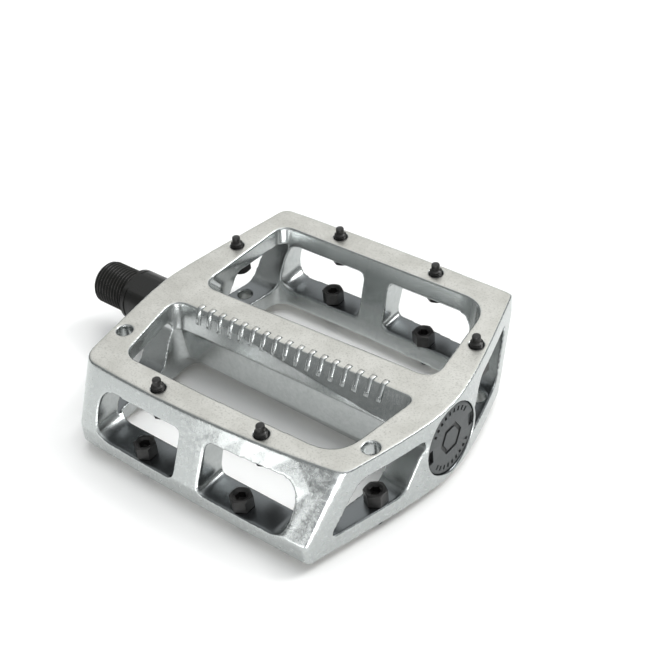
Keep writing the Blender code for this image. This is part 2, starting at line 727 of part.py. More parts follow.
def make_cap(collection, cutters, pivot, plastic, rubber):
    face = CAP_BORE_START + GAP + CAP_THICKNESS
    shoulder = CAP_BORE_START + GAP
    plug_end = shoulder - CAP_PLUG_LENGTH
    ring_place = shoulder - CAP_PLUG_LENGTH / 2
    half_groove = RING_SECTION + GAP
    groove_floor = RING_RADIUS - RING_SECTION - GAP
    disc = CAP_BORE_RADIUS - GAP
    edge = CAP_EDGE
    profile = [
        (face, 0),
        (face, disc - edge),
        (face - edge, disc),
        (shoulder, disc),
        (shoulder, CAP_PLUG_RADIUS),
        (ring_place + half_groove, CAP_PLUG_RADIUS),
        (ring_place + half_groove, groove_floor),
        (ring_place - half_groove, groove_floor),
        (ring_place - half_groove, CAP_PLUG_RADIUS),
        (plug_end, CAP_PLUG_RADIUS),
        (plug_end, CAP_PLUG_INSIDE),
        (shoulder, CAP_PLUG_INSIDE),
        (shoulder, 0),
    ]
    mesh = along_spindle(turned_mesh("end_cap", profile, EXTRA_FINE))
    cap = place("end_cap", mesh, collection, pivot, plastic)
    cap.location.x = -CAGE_CENTRE
    for name, way in (("front", -1), ("rear", 1)):
        work = bmesh.new()
        bmesh.ops.create_cube(work, size=1, matrix=Matrix.Diagonal((*CAP_NOTCH, 1)))
        mesh = bpy.data.meshes.new(f"notch_{name}")
        work.to_mesh(mesh)
        work.free()
        notch = as_cutter(place(f"cut_notch_{name}", mesh, cutters, pivot))
        notch.location = (face - CAGE_CENTRE, way * disc, 0)
        apply_boolean(cap, notch)

    mesh = along_spindle(ring_mesh())
    ring = place("cap_o_ring", mesh, collection, pivot, rubber)
    ring.location.x = ring_place - CAGE_CENTRE


def ring_mesh():
    """The end cap's O-ring, round in section."""
    steps = 8
    turns = [2 * HALF_TURN * i / steps for i in range(steps)]
    profile = [(-RING_SECTION * math.sin(a), RING_RADIUS + RING_SECTION * math.cos(a)) for a in turns]
    return turned_mesh("cap_o_ring", profile, MEDIUM, ring=True)


# ---------------------------------------------------------------- pins


def pin_mesh():
    """A pin for the top face, about Z, with its socket head below the face plate."""
    edge = PIN_EDGE
    chamfer_along, chamfer_across = PIN_HEAD_CHAMFER
    under_plate = WALL_WINDOW_HALF - GAP
    head_end = under_plate - PIN_HEAD_HEIGHT
    tip = HALF_HEIGHT + PIN_PROUD
    thread_end = HALF_HEIGHT + PIN_THREAD_PROUD
    profile = [
        (tip, 0),
        (tip, PIN_TIP_RADIUS - edge),
        (tip - edge, PIN_TIP_RADIUS),
        (thread_end, PIN_TIP_RADIUS),
        (thread_end - edge, PIN_THREAD_RADIUS),
        (under_plate, PIN_THREAD_RADIUS),
        (under_plate, PIN_HEAD_RADIUS),
        (head_end + chamfer_along, PIN_HEAD_RADIUS),
        (head_end, PIN_HEAD_RADIUS - chamfer_across),
        (head_end, 0),
    ]
    pin = bpy.data.objects.new("pin", turned_mesh("pin", profile, SMALL))
    hexagon = hexagon_rod("hexagon", PIN_HEAD_ACROSS, head_end - OVERCUT, tip + OVERCUT)
    socket = hexagon_rod("socket", PIN_SOCKET_ACROSS, head_end - OVERCUT, head_end + PIN_SOCKET_DEPTH)
    for piece in (pin, hexagon, socket):
        bpy.context.scene.collection.objects.link(piece)
    apply_boolean(pin, hexagon, "INTERSECT")
    apply_boolean(pin, socket)
    mesh = mesh_of(pin)
    for piece in (pin, hexagon, socket):
        bpy.data.objects.remove(piece)
    return mesh


def hexagon_rod(name, across, start, end):
    """A six-sided rod along Z, by its width across flats."""
    corner_radius = across / 2 / math.cos(HALF_TURN / 6)
    return bpy.data.objects.new(name, rod_mesh(name, corner_radius, start, end, 6))


def make_pins(collection, pivot, material):
    mesh = pin_mesh()
    for face, turn in (("top", 0), ("bottom", 1)):
        way = -1 if turn else 1
        for name, (x, y) in pin_places().items():
            pin = place(f"{face}_pin_{name}", mesh, collection, pivot, material)
            pin.location = (x, way * y, 0)
            pin.rotation_euler.x = turn * HALF_TURN


def main():
    for leftover in list(bpy.data.objects):
        bpy.data.objects.remove(leftover)
    collection = new_collection("flat_pedal")
    cutters = new_collection("cutters")
    pivot = bpy.data.objects.new("cage_pivot", None)
    pivot.location.x = CAGE_CENTRE
    collection.objects.link(pivot)

    aluminium = new_material("bare_aluminium", (0.62, 0.62, 0.61), 1.0, 0.38)
    black_steel = new_material("blackened_steel", (0.035, 0.035, 0.037), 0.9, 0.42)
    bright_steel = new_material("bright_steel", (0.55, 0.56, 0.58), 1.0, 0.25)
    bronze = new_material("bearing_bronze", (0.42, 0.29, 0.16), 1.0, 0.4)
    plastic = new_material("grey_cap", (0.075, 0.083, 0.088), 0.0, 0.55)
    rubber = new_material("black_rubber", (0.02, 0.02, 0.02), 0.0, 0.75)

    make_spindle(collection, cutters, black_steel)
    make_cage(collection, cutters, pivot, aluminium)
    make_bushing_and_seal(collection, pivot, bronze, rubber)
    make_bearings(collection, pivot, bright_steel, plastic)
    make_washer_and_nut(collection, cutters, bright_steel)
    make_cap(collection, cutters, pivot, plastic, rubber)
    make_pins(collection, pivot, black_steel)


main()
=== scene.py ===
"""Looks of the right-hand flat pedal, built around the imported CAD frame.

The cage, the spindle, the end cap and the pins get finer visual pieces of the same size. The
bearings, the nut, the seal and the rings stay as they are and get procedural materials.
Lengths are in metres. +X runs along the spindle, away from the crank.
"""
import math

import bmesh
import bpy
from mathutils import Matrix, Vector


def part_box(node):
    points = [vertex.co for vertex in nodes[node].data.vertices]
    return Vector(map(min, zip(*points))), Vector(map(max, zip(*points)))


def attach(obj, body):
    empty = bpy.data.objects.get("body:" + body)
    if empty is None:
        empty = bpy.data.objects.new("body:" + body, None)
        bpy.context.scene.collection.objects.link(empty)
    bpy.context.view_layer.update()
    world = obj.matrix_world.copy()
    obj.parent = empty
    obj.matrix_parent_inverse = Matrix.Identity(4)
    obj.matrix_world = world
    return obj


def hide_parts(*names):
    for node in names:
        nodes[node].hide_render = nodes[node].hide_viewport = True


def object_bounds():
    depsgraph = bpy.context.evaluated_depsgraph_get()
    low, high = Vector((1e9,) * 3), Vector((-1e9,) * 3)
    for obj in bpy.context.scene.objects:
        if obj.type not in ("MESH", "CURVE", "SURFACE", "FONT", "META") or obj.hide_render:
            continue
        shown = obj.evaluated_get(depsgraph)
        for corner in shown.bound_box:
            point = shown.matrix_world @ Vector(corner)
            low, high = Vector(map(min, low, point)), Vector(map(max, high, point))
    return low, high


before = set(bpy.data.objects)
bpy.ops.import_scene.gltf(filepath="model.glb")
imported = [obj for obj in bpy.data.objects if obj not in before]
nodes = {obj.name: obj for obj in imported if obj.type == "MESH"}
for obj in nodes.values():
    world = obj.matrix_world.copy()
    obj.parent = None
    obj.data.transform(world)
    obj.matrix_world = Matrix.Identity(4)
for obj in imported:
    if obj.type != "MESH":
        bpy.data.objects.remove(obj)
cad_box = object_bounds()

mm = 0.001
HALF_TURN = math.pi
WELD = 1e-6
OVERCUT = 0.05 * mm  # how far a cutter reaches past the face that it opens

# Sizes that the CAD boxes give
CAGE_LOW, CAGE_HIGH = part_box("cage")
HALF_HEIGHT = CAGE_HIGH.z
SPINDLE_LOW, SPINDLE_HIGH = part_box("spindle")
CAP_LOW, CAP_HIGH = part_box("end_cap")
FLOOR_HEIGHT = cad_box[0].z

# Cage shape
VOXEL = 0.35 * mm
SOFTENING = 8  # smoothing passes that round the cast edges
# kept below the size at which an exported mesh is thinned out
CAGE_TRIANGLES = 185000  # how many triangles the softened cage is thinned to
ACCESS_RADIUS = 2.4 * mm
ACCESS_CHAMFER = 0.25 * mm
ACCESS_SIDES = 40
CAP_BORE_CHAMFER = 0.35 * mm
CAP_BORE_RADIUS = 11.05 * mm
NUT_CLEARANCE = 0.12 * mm
SOFT_ANGLE = 32  # degrees; sharper edges stay sharp

# Ribs along the ridge of the axle housing
RIB_COUNT = 17
RIB_PITCH = 4.2 * mm
RIB_FIRST = -33.0 * mm
RIB_WIDTH = 1.8 * mm
RIB_PROUD = 0.6 * mm
RIB_SECTION = ((1, -0.6), (1, 0.05), (0.9, 0.55), (0.65, 0.9), (0, 1),
               (-0.65, 0.9), (-0.9, 0.55), (-1, 0.05), (-1, -0.6))  # half widths across, height
RIB_STARTS = ((0, 0), (0.15, 0.6), (0.45, 1), (1.2, 1))  # mm from the end, share of full height
RIB_ENDS = ((2.0, 1), (0.45, 1), (0.15, 0.6), (0, 0))
RIB_BEND = 0.6 * mm
RIDGE_HALF_WIDTH = 4.6 * mm
RIDGE_TAPER = 0.037
HOUSING_HALF_WIDTH = 8.7 * mm
BEVEL_DEPTH = 8.2 * mm
RIB_DOWN = 5.2 * mm
RIB_BACK = 2.2 * mm

# Spindle
THREAD_PITCH = 25.4 / 20 * mm
THREAD_DEPTH = 0.74 * mm
THREAD_RADIUS = 7.145 * mm
THREAD_CHAMFER = (1.2 * mm, 1.0 * mm)  # along and across
THREAD_STEPS = 10  # stations for each turn of the thread
THREAD_SLOPE = 1.3  # steeper than 1, so that crests and roots come out flat
THREAD_ROOT = 0.15
STUB_RADIUS = 8.6 * mm
STUB_LENGTH = 14.6 * mm
COLLAR_LENGTH = 1.6 * mm
COLLAR_GROOVE = 0.4 * mm
FLATS_HALF = 7.5 * mm
FLATS_LENGTH = 11.8 * mm
FLATS_TILT = math.radians(15)
JOURNAL_RADIUS = 6.0 * mm
JOURNAL_END = 38.4 * mm
SEAT_START = 99.2 * mm
SEAT_SHOULDER = 4.8 * mm
SEAT_RADIUS = 4.0 * mm
SPINDLE_EDGE = 0.5 * mm
SPINDLE_SOFT = 0.2 * mm
SPINDLE_STEP = 0.01 * mm  # how abruptly the wrench flats end
FLAT_STEPS = 14  # points across a wrench flat
ROUND_STEPS = 34  # points round each half between the flats

# Pins
PIN_THREAD_RADIUS = 1.9 * mm
PIN_THREAD_PITCH = 0.65 * mm
PIN_TIP_RADIUS = 1.3 * mm
PIN_THREAD_PROUD = 1.3 * mm
PIN_THREAD_DEPTH = 0.3 * mm
PIN_THREAD_LENGTH = 2.4 * mm
PIN_TIP_CHAMFER = 0.35 * mm
PIN_SOFT = 0.1 * mm
PIN_HEAD_RADIUS = 3.5 * mm
PIN_HEAD_ACROSS = 6.0 * mm
PIN_HEAD_CHAMFER = (0.35 * mm, 0.6 * mm)  # along and across
PIN_HEAD_HEIGHT = 4.0 * mm
PIN_SOCKET_ACROSS = 3.0 * mm
PIN_SOCKET_DEPTH = 2.4 * mm
PIN_DISH = (2.35 * mm, 1.65 * mm, 0.5 * mm)  # radius at the face, at the bottom, and depth
PIN_SIDES = 48
DISH_SIDES = 36

# End cap
CAP_RADIUS = 10.9 * mm
CAP_SIDES = 96
CAP_EDGE = 0.45 * mm
CAP_FACE_DISC = 3.4 * mm
CAP_PLUG_RADIUS = 7.0 * mm
CAP_PLUG_INSIDE = 5.6 * mm
TICK_COUNT = 28
TICK_RING = 9.0 * mm
TICK_SIZE = (1.5 * mm, 0.85 * mm)  # along and across the radius
TICK_FREE_OF_NOTCH = 0.9
EMBLEM_OUTER = 5.0 * mm
EMBLEM_INNER = 3.6 * mm
MARK_DEPTH = 0.4 * mm
PRY_NOTCH = (1.1 * mm, 4.8 * mm, 4.6 * mm)  # deep, across and tall

# Colours
ALUMINIUM_SIDES = ((0.42, 0.44, 0.437), (0.51, 0.53, 0.525))
# Painted shade for the surfaces that face the cage's middle plane
ALUMINIUM_INWARD_SHADE = (0.145, 0.155, 0.16)
ALUMINIUM_PLATES = ((0.52, 0.515, 0.48), (0.61, 0.605, 0.57))
ALUMINIUM_SPECKLE = (0.36, 0.355, 0.33)
ALUMINIUM_PIT = (0.25, 0.245, 0.24)
BLACK_OXIDE = (0.009, 0.0088, 0.0085)
BLACK_OXIDE_WORN = (0.028, 0.027, 0.026)
SPINDLE_BLACK = (0.006, 0.006, 0.0055)
# Paler crests of the thread: partly wear, partly a painted highlight
SPINDLE_WEAR_AND_GLINT = (0.06, 0.058, 0.054)
STEEL = ((0.50, 0.51, 0.53), (0.62, 0.63, 0.64))
BRONZE = ((0.38, 0.25, 0.13), (0.5, 0.35, 0.2))
BRONZE_PORE = (0.12, 0.08, 0.05)
CAP_GREY = (0.046, 0.05, 0.051)
CAP_RECESS = (0.006, 0.0065, 0.007)
COVER_GREY = (0.05, 0.052, 0.055)
RUBBER = ((0.016, 0.016, 0.016), (0.045, 0.045, 0.044))
FLOOR_WHITE = (0.93, 0.93, 0.925)

# Studio: name, place, size, watts, and whether glossy surfaces show the light
LIGHTS = (
    ("back_softbox", (-0.75, 0.85, 0.95), (1.5, 1.1), 4.6, True),
    ("overhead", (0.26, 0.33, 1.18), (1.2, 1.0), 5.0, True),
    ("overhead_fill", (0.26, 0.33, 1.18), (1.2, 1.0), 21.0, False),
    ("key", (0.65, 0.75, 0.95), (0.4, 0.4), 7.0, True),
    ("front_left", (-0.2, -1.2, 0.08), (0.55, 0.16), 1.6, True),
    ("front_right", (0.85, -1.0, 0.10), (0.7, 0.16), 6.5, True),
)
SKY_LEVELS = ((0.0, 0.26), (0.25, 0.30), (0.62, 0.38), (0.8, 0.5), (1.0, 0.5))  # height, level
SKY_TINT = (0.97, 1.0, 1.0)
BRIGHT_SIDE = (0.45, -0.65, 0.5)
BRIGHT_SIDE_COLOUR = (0.85, 0.86, 0.87)
BRIGHT_SIDE_EDGE = (0.7, 0.95)  # cosines of the angle from its middle
BACKDROP = (1, 1, 1)
FLOOR_HALF_SIZE = 6.0
FLOOR_GLOW = (0.4, 1.6, 0.6)  # starts, is full, and how strong

# Camera
CAMERA_PLACE = (272.2 * mm, -207.1 * mm, 246.8 * mm)
CAMERA_TURN = (51.264, 5.248, 38.630)  # degrees
CAMERA_LENS = 71.14
CAMERA_SENSOR = 36
CAMERA_CLIP = (0.01, 50)


# ---------------------------------------------------------------- mesh helpers


def new_piece(name, mesh):
    piece = bpy.data.objects.new(name, mesh)
    bpy.context.scene.collection.objects.link(piece)
    return piece


def carry_out(piece):
    """Apply every modifier of a piece to its mesh."""
    bpy.context.view_layer.update()
    graph = bpy.context.evaluated_depsgraph_get()
    mesh = bpy.data.meshes.new_from_object(piece.evaluated_get(graph))
    piece.modifiers.clear()
    piece.data = mesh
    return piece


def weld(mesh):
    work = bmesh.new()
    work.from_mesh(mesh)
    bmesh.ops.remove_doubles(work, verts=work.verts, dist=WELD)
    work.to_mesh(mesh)
    work.free()


def boolean(piece, cutter_mesh, operation="DIFFERENCE"):
    cutter = new_piece("cutter", cutter_mesh)
    step = piece.modifiers.new("cut", "BOOLEAN")
    step.operation = operation
    step.solver = "EXACT"
    step.object = cutter
    carry_out(piece)
    bpy.data.objects.remove(cutter)


def joined(meshes, name="joined"):
    """One mesh of several."""
    work = bmesh.new()
    for mesh in meshes:
        work.from_mesh(mesh)
    result = bpy.data.meshes.new(name)
    work.to_mesh(result)
    work.free()
    return result


def turned(name, profile, sides):
    """Turn (height, radius) points about Z; the profile starts and ends on the axis."""
    work = bmesh.new()
    rings = []
    for height, radius in profile:
        count = sides if radius > WELD else 1
        angles = [2 * HALF_TURN * i / sides for i in range(count)]
        rings.append([work.verts.new((radius * math.cos(a), radius * math.sin(a), height))
                      for a in angles])
    for upper, lower in zip(rings, rings[1:]):
        for i in range(sides):
            corners = [upper[i % len(upper)], lower[i % len(lower)],
                       lower[(i + 1) % len(lower)], upper[(i + 1) % len(upper)]]
            work.faces.new(list(dict.fromkeys(corners)))
    bmesh.ops.recalc_face_normals(work, faces=work.faces)
    mesh = bpy.data.meshes.new(name)
    work.to_mesh(mesh)
    work.free()
    return mesh


def box_mesh(size, place):
    work = bmesh.new()
    bmesh.ops.create_cube(work, size=1, matrix=place @ Matrix.Diagonal((*size, 1)))
    mesh = bpy.data.meshes.new("box")
    work.to_mesh(mesh)
    work.free()
    return mesh


def prism(sides, radius, low, high):
    work = bmesh.new()
    bmesh.ops.create_cone(work, cap_ends=True, segments=sides, radius1=radius, radius2=radius,
                          depth=high - low, matrix=Matrix.Translation((0, 0, (low + high) / 2)))
    mesh = bpy.data.meshes.new("prism")
    work.to_mesh(mesh)
    work.free()
    return mesh


def cone(base_radius, top_radius, low, high, sides=64):
    work = bmesh.new()
    bmesh.ops.create_cone(work, cap_ends=True, segments=sides, radius1=base_radius,
                          radius2=top_radius, depth=high - low,
                          matrix=Matrix.Translation((0, 0, (low + high) / 2)))
    mesh = bpy.data.meshes.new("cone")
    work.to_mesh(mesh)
    work.free()
    return mesh


def smooth(mesh, degrees=SOFT_ANGLE):
    mesh.shade_smooth()
    mesh.set_sharp_from_angle(angle=math.radians(degrees))


def middle_of(node):
    low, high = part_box(node)
    return (low + high) / 2


# ---------------------------------------------------------------- material helpers


class Paint:
    """Builds one node material with short calls."""

    def __init__(self, name, colour, metallic, roughness):
        self.material = bpy.data.materials.new(name)
        self.material.use_nodes = True
        self.tree = self.material.node_tree
        self.shader = self.tree.nodes["Principled BSDF"]
        self.set_input("Base Color", (*colour, 1.0))
        self.set_input("Metallic", metallic)
        self.set_input("Roughness", roughness)
        self.coords = self.tree.nodes.new("ShaderNodeTexCoord")

    def set_input(self, name, value):
        self.shader.inputs[name].default_value = value

    def link(self, output, target):
        self.tree.links.new(output, target)

    def to_shader(self, output, name):
        self.link(output, self.shader.inputs[name])

    def feed(self, socket, value):
        """Set a socket to a number or a colour, or link it to another node's output."""
        if isinstance(value, tuple):
            socket.default_value = (*value, 1.0)
        elif isinstance(value, (int, float)):
            socket.default_value = value
        else:
            self.link(value, socket)

    def noise(self, scale, detail=3.0, roughness=0.55, stretch=(1, 1, 1)):
        mapping = self.tree.nodes.new("ShaderNodeMapping")
        mapping.inputs["Scale"].default_value = stretch
        self.link(self.coords.outputs["Object"], mapping.inputs["Vector"])
        node = self.tree.nodes.new("ShaderNodeTexNoise")
        node.inputs["Scale"].default_value = scale
        node.inputs["Detail"].default_value = detail
        node.inputs["Roughness"].default_value = roughness
        self.link(mapping.outputs["Vector"], node.inputs["Vector"])
        return node.outputs["Fac"]

    def cells(self, scale):
        node = self.tree.nodes.new("ShaderNodeTexVoronoi")
        node.inputs["Scale"].default_value = scale
        self.link(self.coords.outputs["Object"], node.inputs["Vector"])
        return node.outputs["Distance"]

    def span(self, value, low, high, to_low=0.0, to_high=1.0):
        """Map a value between low and high onto another span, and keep it inside."""
        node = self.tree.nodes.new("ShaderNodeMapRange")
        for name, number in (("From Min", low), ("From Max", high),
                             ("To Min", to_low), ("To Max", to_high)):
            node.inputs[name].default_value = number
        self.link(value, node.inputs["Value"])
        return node.outputs["Result"]

    def math(self, operation, first, second=None):
        node = self.tree.nodes.new("ShaderNodeMath")
        node.operation = operation
        self.feed(node.inputs[0], first)
        if second is not None:
            self.feed(node.inputs[1], second)
        return node.outputs["Value"]

    def mix_value(self, factor, first, second):
        node = self.tree.nodes.new("ShaderNodeMix")
        self.link(factor, node.inputs[0])
        self.feed(node.inputs[2], first)
        self.feed(node.inputs[3], second)
        return node.outputs[0]

    def mix_colour(self, factor, first, second):
        node = self.tree.nodes.new("ShaderNodeMix")
        node.data_type = "RGBA"
        self.link(factor, node.inputs[0])
        self.feed(node.inputs[6], first)
        self.feed(node.inputs[7], second)
        return node.outputs[2]

    def axis(self, output_name, axis):
        split = self.tree.nodes.new("ShaderNodeSeparateXYZ")
        self.link(self.coords.outputs[output_name], split.inputs["Vector"])
        return split.outputs[axis]

    def from_centre(self, *axes):
        """Distance from the object's origin, measured across two axes."""
        places = [self.axis("Object", axis) for axis in axes]
        first, second = [self.math("MULTIPLY", place, place) for place in places]
        return self.math("SQRT", self.math("ADD", first, second))

    def outward(self, centre_x):
        """How far a wall stands from the cage's middle, measured along the wall's own normal."""
        from_centre = self.math("SUBTRACT", self.axis("Object", "X"), centre_x)
        along = self.math("MULTIPLY", self.axis("Normal", "X"), from_centre)
        across = self.math("MULTIPLY", self.axis("Normal", "Y"), self.axis("Object", "Y"))
        return self.math("ADD", along, across)

    def bump(self, height, distance, strength=1.0, after=None):
        node = self.tree.nodes.new("ShaderNodeBump")
        node.inputs["Strength"].default_value = strength
        node.inputs["Distance"].default_value = distance
        self.link(height, node.inputs["Height"])
        if after is not None:
            self.link(after, node.inputs["Normal"])
        return node.outputs["Normal"]


def cast_aluminium():
    """Tumbled cast aluminium: satin plates, mottled outer walls, smooth inner surfaces darkened by
    painted shade.
    """
    paint = Paint("cast_aluminium", (0.78, 0.775, 0.76), 1.0, 0.4)
    mottle = paint.noise(850, 4.0, 0.6)
    cloud = paint.noise(120, 3.0, 0.5)
    speckle = paint.noise(1900, 3.0, 0.65)
    strokes = paint.noise(1500, 2.0, 0.5, (0.08, 1.0, 1.0))
    plate = on_plates(paint)
    outside = paint.span(paint.outward((CAGE_LOW.x + CAGE_HIGH.x) / 2), 30 * mm, 38 * mm)
    pits = sparse_pits(paint, plate)

    sides = paint.mix_colour(paint.span(mottle, 0.3, 0.7), *ALUMINIUM_SIDES)
    # Painted shade: surfaces that face the cage's middle plane are painted darker
    sides = paint.mix_colour(inward_shade_mask(paint), sides, ALUMINIUM_INWARD_SHADE)
    plates = paint.mix_colour(paint.span(cloud, 0.35, 0.65), *ALUMINIUM_PLATES)
    speckled = paint.span(speckle, 0.52, 0.66, 0.0, 0.6)
    plates = paint.mix_colour(speckled, plates, ALUMINIUM_SPECKLE)
    colour = paint.mix_colour(plate, sides, plates)
    colour = paint.mix_colour(paint.math("MULTIPLY", pits, 0.6), colour, ALUMINIUM_PIT)
    paint.to_shader(colour, "Base Color")

    side_rough = paint.mix_value(outside, 0.27, paint.span(mottle, 0.3, 0.7, 0.16, 0.32))
    plate_rough = paint.span(strokes, 0.3, 0.7, 0.4, 0.5)
    paint.to_shader(paint.mix_value(plate, side_rough, plate_rough), "Roughness")

    plate_height = paint.mix_value(cloud, strokes, speckle)
    side_height = paint.math("MULTIPLY", mottle, paint.span(outside, 0, 1, 0.08, 0.32))
    height = paint.mix_value(plate, side_height, plate_height)
    waves = paint.bump(height, 0.014 * mm, 0.45)
    paint.to_shader(paint.bump(pits, -0.12 * mm, 0.8, waves), "Normal")
    return paint.material


def on_plates(paint):
    """1 on the flat top and bottom plates, 0 elsewhere."""
    flat = paint.span(paint.math("ABSOLUTE", paint.axis("Normal", "Z")), 0.9, 0.985)
    height = paint.math("ABSOLUTE", paint.axis("Object", "Z"))
    high = paint.span(height, HALF_HEIGHT - 0.6 * mm, HALF_HEIGHT - 0.2 * mm)
    return paint.math("MULTIPLY", flat, high)


def inward_shade_mask(paint):
    """1 on surfaces that face the cage's middle plane, such as the floors of the windows; it places
    painted shade there.
    """
    facing = paint.math("MULTIPLY", paint.axis("Normal", "Z"), paint.axis("Object", "Z"))
    return paint.span(facing, -0.3 * HALF_HEIGHT, -0.55 * HALF_HEIGHT)


def sparse_pits(paint, plate):
    """Small casting pits in patches, faint off the plates."""
    pits = paint.span(paint.cells(700), 0.0, 0.16, 1.0, 0.0)
    patches = paint.span(paint.noise(260, 1.0), 0.5, 0.58)
    pits = paint.math("MULTIPLY", pits, patches)
    return paint.math("MULTIPLY", pits, paint.span(plate, 0, 1, 0.15, 1.0))


def blackened_steel():
    """Black oxide with a little oil sheen and paler wear."""
    paint = Paint("blackened_steel", BLACK_OXIDE, 0.0, 0.34)
    paint.set_input("Specular IOR Level", 0.35)
    grain = paint.noise(2600, 3.0)
    worn = paint.span(paint.noise(420, 3.0), 0.5, 0.75, 0.0, 0.6)
    paint.to_shader(paint.mix_colour(worn, BLACK_OXIDE, BLACK_OXIDE_WORN), "Base Color")
    paint.to_shader(paint.span(grain, 0.3, 0.7, 0.27, 0.42), "Roughness")
    paint.to_shader(paint.bump(grain, 0.02 * mm, 0.5), "Normal")
    return paint.material


def threaded_steel():
    """Blackened steel of the spindle, paler on the thread's crests: partly worn bare, partly a
    painted highlight.
    """
    paint = Paint("spindle_black", SPINDLE_BLACK, 0.0, 0.22)
    paint.set_input("Specular IOR Level", 0.3)
    grain = paint.noise(2200, 3.0)
    turning = paint.noise(5200, 1.0, 0.4, (1.0, 0.05, 0.05))
    # Partly painted highlight: the thread's crests are painted paler in patches, partly as wear,
    # partly as a glint
    thread = paint.span(paint.axis("Object", "X"), -0.3 * mm, 0.1 * mm, 1.0, 0.0)
    crest = paint.span(paint.from_centre("Y", "Z"), THREAD_RADIUS - 0.12 * mm, THREAD_RADIUS)
    wear = paint.span(grain, 0.35, 0.65, 0.2, 0.8)
    wear_and_glint = paint.math("MULTIPLY", paint.math("MULTIPLY", thread, crest), wear)
    paint.to_shader(paint.mix_colour(wear_and_glint, SPINDLE_BLACK, SPINDLE_WEAR_AND_GLINT), "Base Color")
    paint.to_shader(paint.span(grain, 0.3, 0.7, 0.27, 0.42), "Roughness")
    paint.to_shader(paint.bump(turning, 0.02 * mm, 0.4), "Normal")
    return paint.material


def bright_steel():
    """Ground steel with turning lines round the spindle."""
    paint = Paint("bright_steel", (0.55, 0.56, 0.58), 1.0, 0.22)
    lines = paint.noise(6000, 1.0, 0.4, (1.0, 0.04, 0.04))
    cloud = paint.noise(300, 3.0)
    paint.to_shader(paint.mix_colour(cloud, *STEEL), "Base Color")
    paint.to_shader(paint.span(lines, 0.3, 0.7, 0.16, 0.3), "Roughness")
    paint.to_shader(paint.bump(lines, 0.01 * mm, 0.4), "Normal")
    return paint.material


def bearing_bronze():
    """Sintered bronze, oily and finely pored."""
    paint = Paint("bearing_bronze", (0.42, 0.29, 0.16), 1.0, 0.4)
    pores = paint.span(paint.cells(2600), 0.0, 0.25, 1.0, 0.0)
    cloud = paint.noise(500, 3.0)
    base = paint.mix_colour(cloud, *BRONZE)
    colour = paint.mix_colour(paint.math("MULTIPLY", pores, 0.6), base, BRONZE_PORE)
    paint.to_shader(colour, "Base Color")
    paint.to_shader(paint.span(cloud, 0.3, 0.7, 0.34, 0.5), "Roughness")
    paint.to_shader(paint.bump(pores, -0.03 * mm, 0.6), "Normal")
    return paint.material


def moulded_plastic(name, light, dark):
    """Matt moulded plastic with a fine grain; what is cut into the end cap's face is dark."""
    paint = Paint(name, light, 0.0, 0.5)
    grain = paint.noise(4200, 2.0, 0.6)
    cloud = paint.span(paint.noise(240, 3.0), 0.3, 0.7)
    base = paint.mix_colour(cloud, light, tuple(c * 1.18 for c in light))
    face = CAP_HIGH.x
    behind = paint.span(paint.axis("Object", "X"), face - 0.3 * mm, face - 0.05 * mm, 1.0, 0.0)
    within = paint.span(paint.from_centre("Y", "Z"), CAP_RADIUS - 0.55 * mm, CAP_RADIUS - 0.45 * mm,
                        1.0, 0.0)
    paint.to_shader(paint.mix_colour(paint.math("MULTIPLY", behind, within), base, dark),
                    "Base Color")
    paint.to_shader(paint.span(grain, 0.3, 0.7, 0.42, 0.6), "Roughness")
    paint.to_shader(paint.bump(grain, 0.03 * mm, 0.5), "Normal")
    return paint.material


def rubber():
    """Black rubber with a dusty bloom."""
    paint = Paint("black_rubber", (0.02, 0.02, 0.02), 0.0, 0.75)
    bloom = paint.noise(700, 4.0)
    paint.to_shader(paint.mix_colour(paint.span(bloom, 0.4, 0.8), *RUBBER), "Base Color")
    paint.to_shader(paint.span(bloom, 0.3, 0.7, 0.62, 0.85), "Roughness")
    paint.to_shader(paint.bump(paint.noise(3000, 2.0), 0.02 * mm, 0.5), "Normal")
    return paint.material


# ---------------------------------------------------------------- cage


def rib_path(x):
    """Places along a rib, as (y, z, lean of its face, height): over the ridge, down the bevel."""
    edge = RIDGE_TAPER * x - RIDGE_HALF_WIDTH
    lean = math.atan((HOUSING_HALF_WIDTH + edge) / BEVEL_DEPTH)
    upright = HALF_TURN / 2
    down = Vector((-math.sin(lean), -math.cos(lean)))
    corner = Vector((edge, HALF_HEIGHT))
    path = [(corner + Vector((RIB_BACK - s * mm, 0)), upright, h) for s, h in RIB_STARTS]
    start, end = corner + Vector((RIB_BEND, 0)), corner + down * RIB_BEND
    for t in (0, 0.5, 1):
        place = start * (1 - t) ** 2 + corner * 2 * t * (1 - t) + end * t * t
        path.append((place, upright + t * (HALF_TURN - lean - upright), 1))
    path += [(corner + down * (RIB_DOWN - s * mm), HALF_TURN - lean, h) for s, h in RIB_ENDS]
    return path


def skin(work, rings):
    """Join rings of points into one closed surface."""
    for first, second in zip(rings, rings[1:]):
        for i in range(len(first)):
            j = (i + 1) % len(first)
            work.faces.new((first[i], second[i], second[j], first[j]))
    work.faces.new(rings[0])
    work.faces.new(rings[-1])


def add_rib(work, x, there):
    rings = []
    for place, lean, height in rib_path(x):
        away = Vector((math.cos(lean), math.sin(lean)))
        ring = []
        for across, lift in RIB_SECTION:
            rise = lift * height * RIB_PROUD if lift > 0 else lift * RIB_PROUD
            y, z = place + away * rise
            ring.append(work.verts.new(there @ Vector((x + across * RIB_WIDTH / 2, y, z))))
        rings.append(ring)
    skin(work, rings)


def ridge_ribs(centre_x):
    """Plain rounded ribs across the ridge of the axle housing, on both faces."""
    work = bmesh.new()
    for turn in (0, HALF_TURN):
        there = Matrix.Translation((centre_x, 0, 0)) @ Matrix.Rotation(turn, 4, "X")
        for i in range(RIB_COUNT):
            add_rib(work, RIB_FIRST + i * RIB_PITCH, there)
    bmesh.ops.recalc_face_normals(work, faces=work.faces)
    mesh = bpy.data.meshes.new("ridge_ribs")
    work.to_mesh(mesh)
    work.free()
    smooth(mesh, 60)
    return mesh


